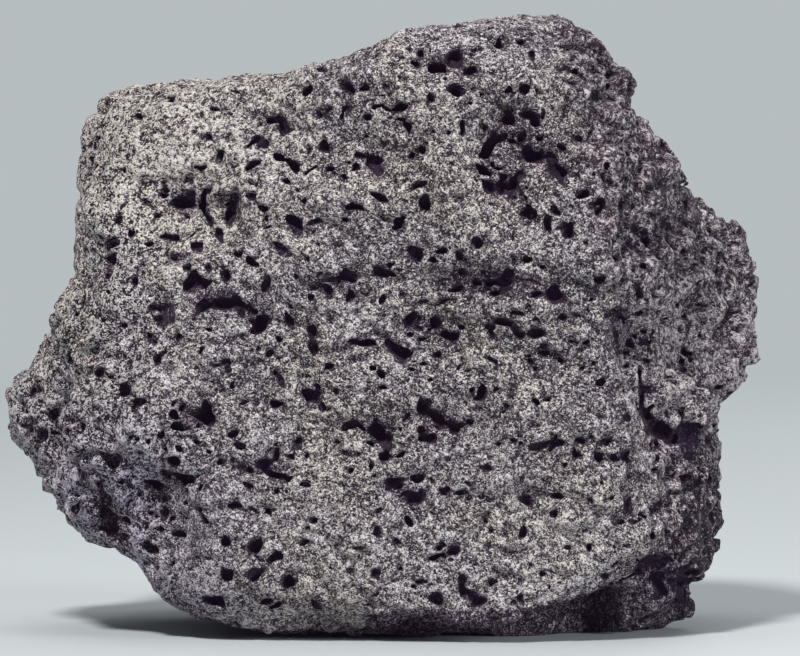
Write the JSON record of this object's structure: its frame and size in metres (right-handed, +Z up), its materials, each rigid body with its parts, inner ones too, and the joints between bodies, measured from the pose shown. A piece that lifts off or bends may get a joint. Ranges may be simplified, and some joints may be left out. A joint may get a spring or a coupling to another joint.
{
  "type": "moon rock",
  "caption": "Blocky broken lump of grey vesicular basalt, riddled with rounded gas holes, standing upright on a small worn flat on its underside.",
  "frame": {"origin": "middle of the stone's bounding box in X and Y, on the plane it stands on", "axes": "+Z up, +X to the right along the broad pitted face, -Y out of that face towards the viewer"},
  "size_m": [0.1636, 0.1012, 0.135],
  "materials": {
    "basalt": "rough broken surface, speckled pale and dark crystals, dark inside the holes"
  },
  "bodies": {
    "root": {"moon_rock": "basalt"}
  },
  "joints": []
}
